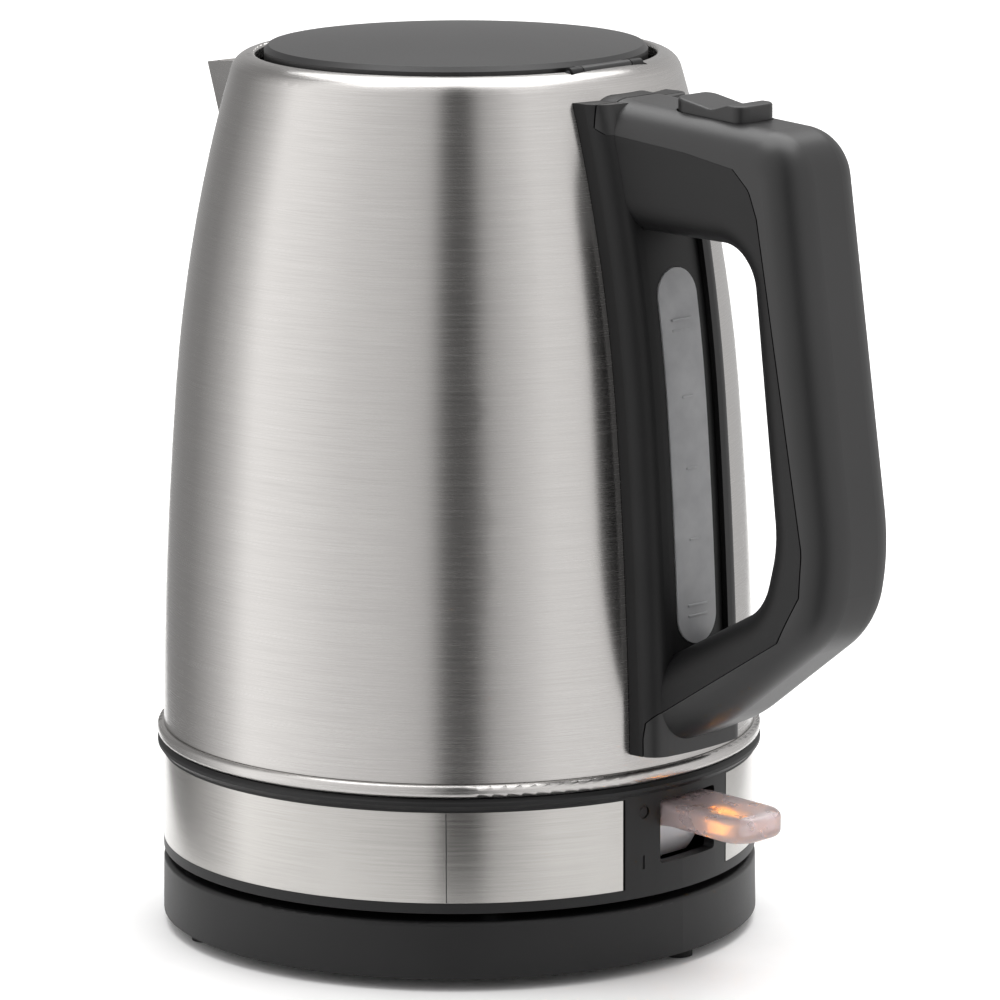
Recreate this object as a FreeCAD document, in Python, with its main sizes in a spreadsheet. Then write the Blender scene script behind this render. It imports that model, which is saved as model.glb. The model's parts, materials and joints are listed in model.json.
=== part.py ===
"""Cordless electric kettle: steel jug, moulded handle, sprung lid release, rocker switch and power base.

Millimetres, +Z up. The origin is on the jug's axis, at the underside of the feet. The handle points
to +X and the spout to -X. Every driving dimension is a named cell of the sheet "Sizes".
"""
import FreeCAD, Part
import math
import os
import re
import Sketcher

doc = FreeCAD.newDocument("kettle")
sheet = doc.addObject("Spreadsheet::Sheet", "Sizes")
V = FreeCAD.Vector

# ---------------------------------------------------------------- driving dimensions
SIZES = {
    # power base
    "base_radius": 75.0, "base_edge_radius": 74.8, "foot_height": 2.9, "base_top": 17.2,
    "base_wall": 2.2, "base_floor": 1.8, "foot_wide": 7.0, "foot_circle": 68.5,
    "foot_angle": 5.0, "pillar_radius": 14.5, "pillar_top": 34.0,
    "pillar_flange": 21.0, "boss_radius": 26.0, "boss_top": 19.0, "rest_circle": 41.5,
    "cord_radius": 3.2, "gland_radius": 4.3, "gland_angle": 133.0, "gland_height": 9.15,
    # jug skirt, band and bead
    "collar_bottom": 19.3, "collar_radius": 74.8, "collar_wall": 3.2, "collar_top": 47.9,
    "collar_floor": 1.6, "lip_radius": 76.0, "band_bottom": 21.8, "band_top": 44.5,
    "band_thick": 0.6, "panel_half": 18.6, "bead_bottom": 48.1, "bead_radius": 76.0,
    "seam_height": 51.5, "socket_opening": 27.5,
    # steel jug: wall radius at four heights, shoulder and mouth
    "rim_height": 219.8, "foot_radius": 74.4,
    "low_height": "=seam_height + 0.268 * (rim_height - seam_height)", "low_radius": 72.9,
    "mid_height": "=seam_height + 0.51 * (rim_height - seam_height)", "mid_radius": 70.2,
    "neck_height": "=rim_height - 17.2", "neck_radius": 59.35, "rim_circle": 50.5,
    "shoulder_round": 5.5, "mouth_radius": 49.7, "lip_drop": 3.0, "wall": 0.7, "floor_height": 56.0, "floor_thick": 0.8,
    # spout
    "spout_reach": 86.0, "spout_tip": "=rim_height - 9.8", "spout_root": "=rim_height - 67.8",
    "spout_half": 36.0, "spout_nose": 3.0, "pour_half": 13.0,
    # handle
    "handle_width": 28.0, "handle_top": "=rim_height - 5.6", "handle_reach": 132.6, "grip_thick": 20.6,
    "grip_low": "=rim_height - 113.8", "arm_low": "=rim_height - 36.8", "handle_round": 9.0,
    "opening_round": 8.0, "plate_half": 17.0,
    "plate_stand": 7.5, "plate_bottom": 55.6, "plate_round": 5.5, "recess_stand": 6.0,
    "recess_half": 10.4, "shell": 2.4, "parting_gap": 0.35,
    "upper_screws": "=rim_height - 23.8", "lower_screws": "=plate_bottom + 11.4",
    # water gauge
    "gauge_half": 7.0, "gauge_low": 81.7, "gauge_high": "=rim_height - 46.6", "gauge_skin": 1.8,
    "slot_half": 4.0, "seal_thick": 0.8,
    # lid
    "lid_radius": 47.5, "crease_radius": 46.4, "crease_height": "=rim_height + 1.9", "dome_rise": 2.4,
    "lid_skin": 1.6, "lid_depth": 8.0, "liner_radius": 45.0, "liner_drop": 17.0,
    "hinge_x": 49.0, "hinge_z": "=rim_height - 0.4", "hinge_pin": 0.8, "knuckle_round": 1.45,
    "knuckle_half": 8.6, "ear_wide": 4.0,
    # lid release
    "button_left": 76.8, "button_long": 21.6, "button_wide": 13.4, "button_high": 3.6,
    "button_bump": 1.8, "slide_height": "=rim_height - 20.8", "slide_thick": 3.0,
    "slide_wide": 10.0, "stem_wide": 6.0, "button_sink": 3.2, "coil_radius": 2.4, "coil_wire": 0.5,
    # switch
    "window_low": 26.8, "window_high": 42.9, "window_left": -7.9, "window_right": 13.1,
    "lever_wide": 19.6, "lever_tip": 99.5, "lever_pivot_x": 50.0, "lever_pivot_z": 38.2,
    "lever_top": 41.8, "lever_thick": 6.4, "lever_pin": 1.5, "shield_radius": 19.6, "shield_thick": 1.2,
    "lamp_radius": 1.9, "lamp_long": 9.5,
    # heating and control
    "plate_disc": 60.0, "plate_disc_thick": 2.5, "element_circle": 40.0, "element_tube": 3.3,
    "control_radius": 22.0, "control_low": 24.5, "control_high": 44.0, "pipe_radius": 4.0,
    "pipe_x": 46.0, "pipe_y": -22.0, "pipe_top": "=rim_height - 19.8",
    # fits
    "running_fit": 0.05, "loose_fit": 0.3, "wide_fit": 0.5, "screw_radius": 1.5,
    "screw_head": 2.8, "screw_head_high": 1.8,
}
for row, (alias, value) in enumerate(SIZES.items(), start=1):
    sheet.set(f"A{row}", alias)
    sheet.set(f"B{row}", str(value))
    sheet.setAlias(f"B{row}", alias)
doc.recompute()

WORD = re.compile(r"\b(" + "|".join(sorted(SIZES, key=len, reverse=True)) + r")\b")
NODES = {}


def size(alias):
    """The number that a cell of the sheet holds, worked out where the cell holds a formula."""
    return float(sheet.get(alias))


def bind(thing, prop, formula):
    """Tie one property to a formula that is written with the sheet's names."""
    thing.setExpression(prop, WORD.sub(r"Sizes.\1", str(formula)))


def place(thing, x, y, z, turn=None):
    if turn is not None:
        thing.Placement = FreeCAD.Placement(V(0, 0, 0), turn)
    for key, formula in (("x", x), ("y", y), ("z", z)):
        bind(thing, f"Placement.Base.{key}", formula)
    return thing


AXES = {
    "Z": FreeCAD.Rotation(),
    "X": FreeCAD.Rotation(V(0, 1, 0), 90),
    "Y": FreeCAD.Rotation(V(1, 0, 0), -90),
}


def rod(name, radius, length, x="0", y="0", z="0", axis="Z"):
    """A cylinder that starts at x, y, z and runs along +axis."""
    thing = doc.addObject("Part::Cylinder", name)
    bind(thing, "Radius", radius)
    bind(thing, "Height", length)
    return place(thing, x, y, z, AXES[axis])


def block(name, dx, dy, dz, x="0", y="0", z="0"):
    """A box whose low corner is at x, y, z."""
    thing = doc.addObject("Part::Box", name)
    bind(thing, "Length", dx)
    bind(thing, "Width", dy)
    bind(thing, "Height", dz)
    return place(thing, x, y, z)


def fuse(name, *things):
    thing = doc.addObject("Part::MultiFuse", name)
    thing.Shapes = list(things)
    thing.Refine = True
    return thing


def group(name, *things):
    """Identical loose pieces kept together as one node."""
    thing = doc.addObject("Part::Compound", name)
    thing.Links = list(things)
    return thing


def cut(name, base, *tools):
    tool = tools[0] if len(tools) == 1 else fuse(name + "_tools", *tools)
    thing = doc.addObject("Part::Cut", name)
    thing.Base = base
    thing.Tool = tool
    thing.Refine = True
    return thing


def common(name, *things):
    thing = doc.addObject("Part::MultiCommon", name)
    thing.Shapes = list(things)
    thing.Refine = True
    return thing


def held(name, shape):
    """A free shape that the document's own features can't make."""
    thing = doc.addObject("Part::Feature", name)
    thing.Shape = shape
    return thing


def outline(body, role, corners):
    """A closed polygon sketch on one of the body's own planes, each corner tied to two formulas."""
    sketch = body.newObject("Sketcher::SketchObject", body.Name + "_sketch")
    plane = [f for f in body.Origin.OriginFeatures if f.Role == role][0]
    sketch.AttachmentSupport = [(plane, "")]
    sketch.MapMode = "FlatFace"
    count = len(corners)
    spots = [V(math.cos(2 * math.pi * i / count), math.sin(2 * math.pi * i / count), 0) * 60
             for i in range(count)]
    for i in range(count):
        sketch.addGeometry(Part.LineSegment(spots[i], spots[(i + 1) % count]))
    for i in range(count):
        sketch.addConstraint(Sketcher.Constraint("Coincident", i, 2, (i + 1) % count, 1))
    for i, (across, up) in enumerate(corners):
        for kind, axis, formula in (("DistanceX", -2, across), ("DistanceY", -1, up)):
            if str(formula) == "0":
                sketch.addConstraint(Sketcher.Constraint("PointOnObject", i, 1, axis))
                continue
            index = sketch.addConstraint(Sketcher.Constraint(kind, -1, 1, i, 1, 1.0))
            bind(sketch, f"Constraints[{index}]", formula)
    doc.recompute()
    return sketch


def turned(name, corners):
    """A body of revolution about Z from (radius, height) corners."""
    body = doc.addObject("PartDesign::Body", name)
    sketch = outline(body, "XZ_Plane", corners)
    turn = body.newObject("PartDesign::Revolution", name + "_turn")
    turn.Profile = sketch
    turn.ReferenceAxis = (sketch, ["V_Axis"])
    turn.Angle = 360
    body.Tip = turn
    return body


def side_slab(name, corners, width, middle="0"):
    """A body with an XZ outline, padded evenly both ways along Y about a middle plane."""
    body = doc.addObject("PartDesign::Body", name)
    sketch = outline(body, "XZ_Plane", corners)
    pad = body.newObject("PartDesign::Pad", name + "_pad")
    pad.Profile = sketch
    pad.Midplane = True
    bind(pad, "Length", width)
    body.Tip = pad
    bind(body, "Placement.Base.y", middle)
    return body


def rounded(name, base, *passes):
    """Round edges of a solid. Each pass is (radius, test) and the test picks edges."""
    for number, (radius, test) in enumerate(passes):
        doc.recompute()
        picked = [i for i, edge in enumerate(base.Shape.Edges, start=1) if test(edge)]
        if not picked:
            raise RuntimeError(f"{name}: pass {number} picks no edge")
        last = number == len(passes) - 1
        thing = doc.addObject("Part::Fillet", name if last else f"{name}_round{number}")
        thing.Base = base
        thing.Edges = [(i, radius, radius) for i in picked]
        base = thing
    return base


def node(thing, label):
    """Mark a finished sub-part; its label names its file."""
    thing.Label = label
    NODES[label] = thing
    return thing


def ring_at(radius, height, slack=0.2):
    """An edge test: a full circle about the jug's axis."""
    def test(edge):
        box = edge.BoundBox
        flat = box.ZLength < 0.01 and abs(box.ZMin - height) < slack
        return flat and abs(box.XMax - radius) < slack and abs(box.XMin + radius) < slack
    return test


# ---------------------------------------------------------------- the jug's wall as tangent arcs
def unit(vector):
    return vector * (1.0 / vector.Length)


def wall_chain():
    """(start, centre, end) of the arcs up the wall and over the shoulder, each tangent to the next."""
    foot = V(size("foot_radius"), 0, size("seam_height"))
    low = V(size("low_radius"), 0, size("low_height"))
    mid = V(size("mid_radius"), 0, size("mid_height"))
    neck = V(size("neck_radius"), 0, size("neck_height"))
    belly_centre = Part.Circle(foot, low, mid).Center
    inwards = unit(belly_centre.sub(mid))
    rise = neck.sub(mid)
    upper_centre = mid + inwards * (rise.dot(rise) / (2 * rise.dot(inwards)))
    # The last arc leaves the neck along the one before and meets the shoulder's round from outside.
    curl = size("shoulder_round")
    shoulder = V(size("rim_circle"), 0, size("rim_height") - curl)
    inwards = unit(upper_centre.sub(neck))
    away = neck.sub(shoulder)
    reach = (curl ** 2 - away.dot(away)) / (2 * (inwards.dot(away) + curl))
    neck_centre = neck + inwards * reach
    touch = shoulder + unit(shoulder.sub(neck_centre)) * curl
    crown = V(size("rim_circle"), 0, size("rim_height"))
    return [(foot, belly_centre, mid), (mid, upper_centre, neck), (neck, neck_centre, touch),
            (touch, shoulder, crown)]


def wall_edges(offset):
    """The arcs of the wall, moved outwards by an offset."""
    edges = []
    for start, centre, end in wall_chain():
        reach = start.sub(centre).Length + offset
        rays = [unit(start.sub(centre)), unit(end.sub(centre))]
        rays.insert(1, unit(rays[0] + rays[1]))
        edges.append(Part.Arc(*[centre + ray * reach for ray in rays]).toShape())
    return edges


def wall_ends(offset):
    edges = wall_edges(offset)
    return edges[0].valueAt(edges[0].FirstParameter), V(size("rim_circle"), 0, size("rim_height") + offset)


def spun(edges):
    """A full turn of a section about Z; its seam lies at +Y, away from handle and spout."""
    face = Part.Face(Part.Wire(Part.__sortEdges__(edges)))
    face.rotate(V(0, 0, 0), V(0, 0, 1), 90)
    return face.revolve(V(0, 0, 0), V(0, 0, 1), 360)


def line(*points):
    return [Part.makeLine(a, b) for a, b in zip(points, points[1:])]


def jug_form(offset):
    """The solid inside the jug's wall, moved outwards by an offset."""
    low, top = wall_ends(offset)
    return spun(wall_edges(offset) + line(top, V(0, 0, top.z), V(0, 0, low.z), low))


def shell_blank():
    wall = size("wall")
    lip = size("rim_circle") - size("mouth_radius")
    lip_low = size("rim_height") - size("lip_drop")
    turn = lip * math.sqrt(0.5)
    lip_arc = Part.Arc(V(size("rim_circle"), 0, size("rim_height")),
                       V(size("rim_circle") - turn, 0, size("rim_height") - lip + turn),
                       V(size("mouth_radius"), 0, size("rim_height") - lip)).toShape()
    outer_low = wall_ends(0)[0]
    inner_low, inner_top = wall_ends(-wall)
    inner_lip = size("mouth_radius") + wall
    edges = wall_edges(0) + [lip_arc] + wall_edges(-wall)
    edges += line(V(size("mouth_radius"), 0, size("rim_height") - lip),
                  V(size("mouth_radius"), 0, lip_low), V(inner_lip, 0, lip_low),
                  V(inner_lip, 0, inner_top.z), inner_top)
    edges += line(inner_low, outer_low)
    return spun(edges)


def radius_at(height):
    """The jug wall's outer radius at a height, read off its arcs."""
    level = Part.makeLine(V(0, 0, height), V(300, 0, height))
    return level.distToShape(Part.Compound(wall_edges(0)))[1][0][0].x


# ---------------------------------------------------------------- power base
def build_base():
    shell = turned("base_shell", [
        ("base_radius - base_wall", "foot_height"), ("base_radius", "foot_height"),
        ("base_edge_radius", "base_top"), ("base_edge_radius - 8", "base_top"),
        ("base_edge_radius - 10", "base_top - 1.4"), ("rest_circle + 1.5", "base_top - 1.4"),
        ("rest_circle + 1.5", "collar_bottom - running_fit"),
        ("rest_circle - 1.5", "collar_bottom - running_fit"),
        ("rest_circle - 1.5", "base_top - 1.4"), ("boss_radius + 3", "base_top - 1.4"),
        ("boss_radius", "boss_top"), ("pillar_flange - 4", "boss_top"),
        ("pillar_flange - 4", "boss_top - base_wall"),
        ("boss_radius - base_wall", "boss_top - base_wall"),
        ("boss_radius", "base_top - 1.4 - base_wall"),
        ("base_edge_radius - base_wall", "base_top - 1.4 - base_wall")])
    edge = ring_at(size("base_edge_radius"), size("base_top"))
    shell = rounded("base_soft", shell, (1.2, edge))
    gland = rod("gland_hole", "gland_radius + 0.1", "20")
    bosses = []
    for spot in range(3):
        angle = f"(foot_angle + 60 + {120 * spot})"
        bosses.append(cut(f"base_boss_{spot}",
                          rod(f"base_boss_body_{spot}", "3.6", "base_top - 1.4 - base_wall - 5.5",
                              f"56 * cos({angle})", f"56 * sin({angle})", "5.5"),
                          rod(f"base_boss_bore_{spot}", "screw_radius + 0.02", "6",
                              f"56 * cos({angle})", f"56 * sin({angle})", "5")))
    turn_to_gland(gland, "base_radius - 14")
    node(cut("base_top_shell", fuse("base_body", shell, *bosses), gland), "base_top_shell")
    cover = turned("base_floor_disc", [
        ("0", "foot_height"), ("base_radius - base_wall - loose_fit", "foot_height"),
        ("base_radius - base_wall - loose_fit", "foot_height + base_floor"),
        ("0", "foot_height + base_floor")])
    holes, screws, feet = [], [], []
    for spot in range(3):
        angle = f"(foot_angle + 60 + {120 * spot})"
        x, y = f"56 * cos({angle})", f"56 * sin({angle})"
        holes.append(rod(f"base_hole_{spot}", "screw_radius + 0.2", "10", x, y, "0"))
        screws.append(fuse(f"base_screw_{spot}",
                           rod(f"base_screw_head_{spot}", "screw_head", "screw_head_high", x, y,
                               "foot_height - screw_head_high"),
                           rod(f"base_screw_shank_{spot}", "screw_radius", "7.6", x, y,
                               "foot_height")))
        angle = f"(foot_angle + {120 * spot})"
        x, y = f"foot_circle * cos({angle})", f"foot_circle * sin({angle})"
        pad = fuse(f"foot_{spot}", rod(f"foot_pad_{spot}", "foot_wide / 2", "foot_height", x, y, "0"),
                   rod(f"foot_stem_{spot}", "foot_wide / 4", "base_floor + 1.4", x, y, "foot_height"))
        feet.append(pad)
        holes.append(rod(f"foot_hole_{spot}", "foot_wide / 4 + 0.02", "10", x, y, "0"))
    node(cut("base_floor_plate", cover, *holes), "base_floor_plate")
    node(group("base_screws_set", *screws), "base_screws")
    node(group("rubber_feet_set", *feet), "rubber_feet")


def turn_to_gland(thing, reach):
    """Lay a cylinder along the gland's direction, starting at a distance from the axis."""
    angle = size("gland_angle")
    thing.Placement = FreeCAD.Placement(V(0, 0, 0), FreeCAD.Rotation(V(0, 0, 1), angle).multiply(AXES["X"]))
    bind(thing, "Placement.Base.x", f"({reach}) * cos(gland_angle)")
    bind(thing, "Placement.Base.y", f"({reach}) * sin(gland_angle)")
    bind(thing, "Placement.Base.z", "gland_height")
    return thing


def lay_along_gland(thing, reach, half, low):
    """Turn a box to the gland's direction, centred across it."""
    thing.Placement = FreeCAD.Placement(V(0, 0, 0), FreeCAD.Rotation(V(0, 0, 1), size("gland_angle")))
    bind(thing, "Placement.Base.x", f"({reach}) * cos(gland_angle) + ({half}) * sin(gland_angle)")
    bind(thing, "Placement.Base.y", f"({reach}) * sin(gland_angle) - ({half}) * cos(gland_angle)")
    bind(thing, "Placement.Base.z", low)
    return thing


def build_base_electrics():
    # The gland is a bush round the cord's bore, with a flat flange behind the wall.
    flange = lay_along_gland(block("gland_flange", "2", "12", "2 * gland_radius"),
                             "base_radius - base_wall - 3.4", "6", "gland_height - gland_radius")
    tube = turn_to_gland(rod("gland_tube", "gland_radius", "9"), "base_radius - 9")
    bush = fuse("gland_bush", tube, flange)
    bore = turn_to_gland(rod("gland_bore", "cord_radius", "30"), "base_radius - 20")
    side = turned("gland_side", [("base_radius - 0.4", "0"), ("base_radius + 20", "0"),
                                 ("base_radius + 20", "30"), ("base_radius - 0.4", "30")])
    node(cut("cord_gland_body", bush, bore, side), "cord_gland")
    # The pillar carries the contacts: a centre socket and two ring slots, open at the top.
    pillar = turned("pillar_body", [
        ("0", "foot_height + base_floor"), ("pillar_flange", "foot_height + base_floor"),
        ("pillar_flange", "boss_top - base_wall - loose_fit"),
        ("pillar_flange - 4 - wide_fit", "boss_top - base_wall - loose_fit"),
        ("pillar_flange - 4 - wide_fit", "boss_top + 1"), ("pillar_radius", "boss_top + 1.6"),
        ("pillar_radius", "pillar_top"),
        ("11.6", "pillar_top"), ("11.6", "pillar_top - 13"), ("9.4", "pillar_top - 13"),
        ("9.4", "pillar_top"), ("6.8", "pillar_top"), ("6.8", "pillar_top - 13"),
        ("4.6", "pillar_top - 13"), ("4.6", "pillar_top"), ("2.4", "pillar_top"),
        ("2.4", "pillar_top - 13"), ("0", "pillar_top - 13")])
    top = ring_at(size("pillar_radius"), size("pillar_top"))
    node(rounded("base_connector_body", pillar, (1.2, top)), "base_connector")
    rings = []
    for number, outer in enumerate(("11.6", "6.8", "2.4")):
        rings.append(turned(f"contact_ring_{number}", [
            (f"{outer} - 0.5", "pillar_top - 12"), (outer, "pillar_top - 12"),
            (outer, "pillar_top - 3"), (f"{outer} - 0.5", "pillar_top - 3")]))
    node(group("base_contacts_set", *rings), "base_contacts")
    # Terminal block with the wire clamp, on the floor between the pillar and the gland.
    clamp = lay_along_gland(block("terminal_body", "16", "22", "7"), "32", "11",
                            "foot_height + base_floor")
    node(clamp, "terminal_block")


# ---------------------------------------------------------------- jug skirt
def build_skirt():
    recess = "band_thick + 0.1"
    ring = turned("collar_ring", [
        ("collar_radius - collar_wall", "collar_bottom"), ("collar_radius", "collar_bottom"),
        ("collar_radius", "band_top + 0.5"), ("lip_radius", "band_top + 1.7"),
        ("lip_radius", "collar_top - 0.9"), ("lip_radius - 0.9", "collar_top"),
        ("collar_radius - collar_wall", "collar_top")])
    groove = turned("band_groove_ring", [
        (f"collar_radius - {recess}", "band_bottom"), ("collar_radius + 5", "band_bottom"),
        ("collar_radius + 5", "band_top"), (f"collar_radius - {recess}", "band_top")])
    panel = block("panel_keep", "90", "2 * panel_half", "60", "0", "-panel_half", "0")
    groove = cut("band_groove", groove, panel)
    window = block("window_cutter", "20", "window_right - window_left", "window_high - window_low",
                   "collar_radius - 12", "window_left", "window_low")
    window = rounded("window_soft", window, (1.0, lambda e: e.BoundBox.XLength > 19))
    icon_y = "(window_left - panel_half) / 2"
    off_mark = cut("off_mark", rod("off_outer", "1.7", "4", "collar_radius - 1.4", icon_y,
                                   "window_high - 2.2", "X"),
                   rod("off_inner", "1.1", "5", "collar_radius - 2", icon_y, "window_high - 2.2",
                       "X"))
    on_mark = block("on_mark", "4", "0.8", "3.4", "collar_radius - 1.4", f"{icon_y} - 0.4",
                    "window_low - 0.4")
    node(cut("collar_body", ring, groove, window, off_mark, on_mark), "collar")
    band = turned("band_ring", [
        (f"collar_radius - {recess} + 0.05", "band_bottom + 0.1"),
        ("collar_radius - 0.05", "band_bottom + 0.1"), ("collar_radius - 0.05", "band_top - 0.1"),
        (f"collar_radius - {recess} + 0.05", "band_top - 0.1")])
    gap = block("band_gap", "90", "2 * (panel_half + 0.6)", "60", "0", "-(panel_half + 0.6)", "0")
    node(cut("steel_band_body", band, gap), "steel_band")
    # Skirt floor closes the jug from below, round the connector's opening.
    inner = "collar_radius - collar_wall - 0.1"
    disc = turned("skirt_disc", [
        ("socket_opening", "collar_bottom"), (inner, "collar_bottom"),
        (inner, "collar_bottom + collar_floor"), ("socket_opening", "collar_bottom + collar_floor")])
    holes, screws = [], []
    for spot in range(3):
        angle = f"(80 + {120 * spot})"
        x, y = f"62 * cos({angle})", f"62 * sin({angle})"
        holes.append(rod(f"skirt_hole_{spot}", "screw_radius + 0.2", "10", x, y, "15"))
        screws.append(fuse(f"skirt_screw_{spot}",
                           rod(f"skirt_screw_head_{spot}", "screw_head", "screw_head_high - 0.4", x,
                               y, "collar_bottom - screw_head_high + 0.4"),
                           rod(f"skirt_screw_shank_{spot}", "screw_radius", "9", x, y,
                               "collar_bottom")))
    node(cut("skirt_floor_body", disc, *holes), "skirt_floor")
    node(group("skirt_screws_set", *screws), "skirt_screws")
    posts = []
    for spot in range(3):
        angle = f"(80 + {120 * spot})"
        x, y = f"62 * cos({angle})", f"62 * sin({angle})"
        posts.append(cut(f"post_{spot}",
                         rod(f"post_body_{spot}", "4", "collar_top - 4.2 - collar_bottom - collar_floor",
                             x, y, "collar_bottom + collar_floor"),
                         rod(f"post_bore_{spot}", "screw_radius + 0.02", "12", x, y,
                             "collar_bottom")))
    spider = turned("spider_ring", [
        ("61", "collar_top - 4.2"), ("collar_radius - collar_wall - 0.05", "collar_top - 4.2"),
        ("collar_radius - collar_wall - 0.05", "collar_top - 2.2"), ("61", "collar_top - 2.2")])
    node(fuse("inner_frame_body", spider, *posts), "skirt_frame")


# ---------------------------------------------------------------- steel jug
def build_jug():
    blank = held("shell_blank", shell_blank())
    slot = common("gauge_slot", obround("slot_prism", "slot_half", "gauge_low + 6", "gauge_high - 5"),
                  held("slot_zone", jug_form(2.0)))
    pour = block("pour_hole", "40", "2 * pour_half", "16", "-90", "-pour_half",
                 "rim_height - shoulder_round - 20")
    latch = block("latch_hole", "30", "slide_wide + 2 * wide_fit", "slide_thick + 2 * wide_fit",
                  "45", "-(slide_wide / 2 + wide_fit)", "slide_height - wide_fit")
    holes = []
    for spot, (y, z) in enumerate(HANDLE_SCREWS):
        holes.append(rod(f"handle_hole_{spot}", "screw_radius + 0.2", "9",
                         f"{screw_start(z) - 5}", y, z, "X"))
    notch = block("hinge_notch", "8", "2 * (knuckle_half + ear_wide + 1.2)", "12",
                  "hinge_x + knuckle_round + 0.45 - 8", "-(knuckle_half + ear_wide + 1.2)",
                  "rim_height - 8")
    pierced = cut("body_shell_pierced", blank, *holes)
    node(cut("body_shell_cut", pierced, slot, pour, latch, notch), "body_shell")
    top = "floor_height"
    inner = "foot_radius - wall - 0.05"
    plate = turned("floor_blank", [
        ("0", f"{top} - floor_thick"), (f"{inner} - floor_thick", f"{top} - floor_thick"),
        (f"{inner} - floor_thick", "bead_bottom"), ("bead_radius", "bead_bottom"),
        ("bead_radius", "seam_height - 0.1"), (inner, "seam_height - 0.1"), (inner, top),
        ("0", top)])
    bead_top = ring_at(size("bead_radius"), size("seam_height") - 0.1)
    bead_low = ring_at(size("bead_radius"), size("bead_bottom"))
    plate = rounded("floor_soft", plate, (1.3, lambda e: bead_top(e) or bead_low(e)))
    pipe_hole = rod("pipe_hole", "pipe_radius + 0.02", "20", "pipe_x", "pipe_y", "45")
    wall_zone = held("wall_zone", jug_form(0.02).cut(jug_form(-size("wall") - 0.02)))
    node(cut("floor_plate_body", plate, pipe_hole, wall_zone), "floor_plate")


def obround(name, half, low, high, depth="60", start="50"):
    """A prism along X with round ends, standing upright about the handle's plane."""
    return fuse(name,
                rod(name + "_low", half, depth, start, "0", f"{low} + ({half})", "X"),
                rod(name + "_high", half, depth, start, "0", f"{high} - ({half})", "X"),
                block(name + "_mid", depth, f"2 * ({half})", f"({high}) - ({low}) - 2 * ({half})",
                      start, f"-({half})", f"{low} + ({half})"))


HANDLE_SCREWS = (("-9", "upper_screws"), ("9", "upper_screws"),
                 ("-9", "lower_screws"), ("9", "lower_screws"))
HEAD_IN = 2.6


def beak(inset):
    """The spout's pressed V, lofted from its root on the wall up past the rim."""
    def section(height, reach, half, nose):
        back = V(-30, half, height)
        centre = V(-(reach - nose), 0, height)
        run = centre.sub(back)
        angle = math.atan2(run.y, run.x) - math.asin(nose / run.Length) + math.pi / 2
        touch = centre + V(math.cos(angle), math.sin(angle), 0) * nose
        if touch.y < 0:
            angle = math.atan2(run.y, run.x) + math.asin(nose / run.Length) - math.pi / 2
            touch = centre + V(math.cos(angle), math.sin(angle), 0) * nose
        mirror = V(touch.x, -touch.y, touch.z)
        edges = line(mirror, V(-30, -half, height), back, touch)
        edges.append(Part.Arc(touch, V(-reach, 0, height), mirror).toShape())
        return Part.Wire(Part.__sortEdges__(edges))
    root, tip = size("spout_root"), size("spout_tip")
    root_reach = radius_at(root)
    rise = 8.0
    slope = (size("spout_reach") - root_reach) / (tip - root)
    nose = size("spout_nose") - inset
    low = section(root, root_reach - inset, 4.0 - inset, nose - 0.5)
    high = section(tip + rise, size("spout_reach") + slope * rise - inset,
                   size("spout_half") - inset, nose)
    return Part.makeLoft([low, high], True, True)


def build_spout():
    outer, inner = beak(0.0), beak(size("wall"))
    skin = outer.cut(inner).cut(jug_form(0.02))
    lift = math.degrees(math.atan2(4.0, size("spout_reach") - size("neck_radius")))
    block_above = Part.makeBox(120, 120, 40, V(-20, -60, 0))
    block_above.Placement = FreeCAD.Placement(V(-size("spout_reach"), 0, size("spout_tip")),
                                              FreeCAD.Rotation(V(0, 1, 0), -lift))
    skin = skin.cut(block_above)
    pieces = sorted(skin.Solids, key=lambda s: -s.Volume)
    node(held("spout_skin", pieces[0]), "spout")
    # The scale filter: a plastic box across the pouring hole, its rim against the wall's inside.
    low = "rim_height - shoulder_round - 21"
    frame = common("filter_frame_fit",
                   block("filter_frame", "12", "2 * (pour_half + 1.5)", "18", "-(neck_radius + 4.4)",
                         "-(pour_half + 1.5)", low),
                   held("filter_zone", jug_form(-size("wall") - 0.03)))
    holes = [block("filter_channel", "30", "2 * pour_half", "15.6", "-(neck_radius + 24)",
                   "-pour_half", f"{low} + 1.2")]
    for column in range(7):
        for row in range(5):
            holes.append(block(f"filter_hole_{column}_{row}", "6", "2.6", "2.0", "-(neck_radius - 4)",
                               f"{-12.91 + 3.87 * column:.2f}", f"{low} + {1.6 + 3.2 * row:.1f}"))
    node(cut("spout_filter_body", frame, *holes), "spout_filter")


# ---------------------------------------------------------------- handle
def handle_outline(inset):
    """Outer corners of the handle's side view, from the jug's shoulder round to the plate's foot."""
    return [("45", f"handle_top + 1 - {inset}"), ("56", f"handle_top - {inset}"),
            (f"handle_reach - 14.5 - {inset}", f"handle_top - 4.6 - {inset}"),
            (f"handle_reach - {inset}", f"grip_low + 2"),
            (f"handle_reach - 4.5 - {inset}", f"grip_low - 15"),
            (f"handle_reach - 38 - {inset} / 2", f"grip_low - 41 + {inset}"),
            ("74", f"plate_bottom + {inset}"), ("45", f"plate_bottom + {inset}")]


def opening_outline(grow):
    """Corners of the finger opening; its left side is left to the plate."""
    return [("60", f"arm_low + {grow}"),
            (f"handle_reach - 28.6 + {grow}", f"arm_low - 1 + {grow}"),
            (f"handle_reach - grip_thick + {grow}", f"grip_low + 6"),
            (f"handle_reach - grip_thick - 4 + {grow}", f"grip_low - 10"),
            ("60", f"grip_low - 36 - {grow}")]


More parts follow.
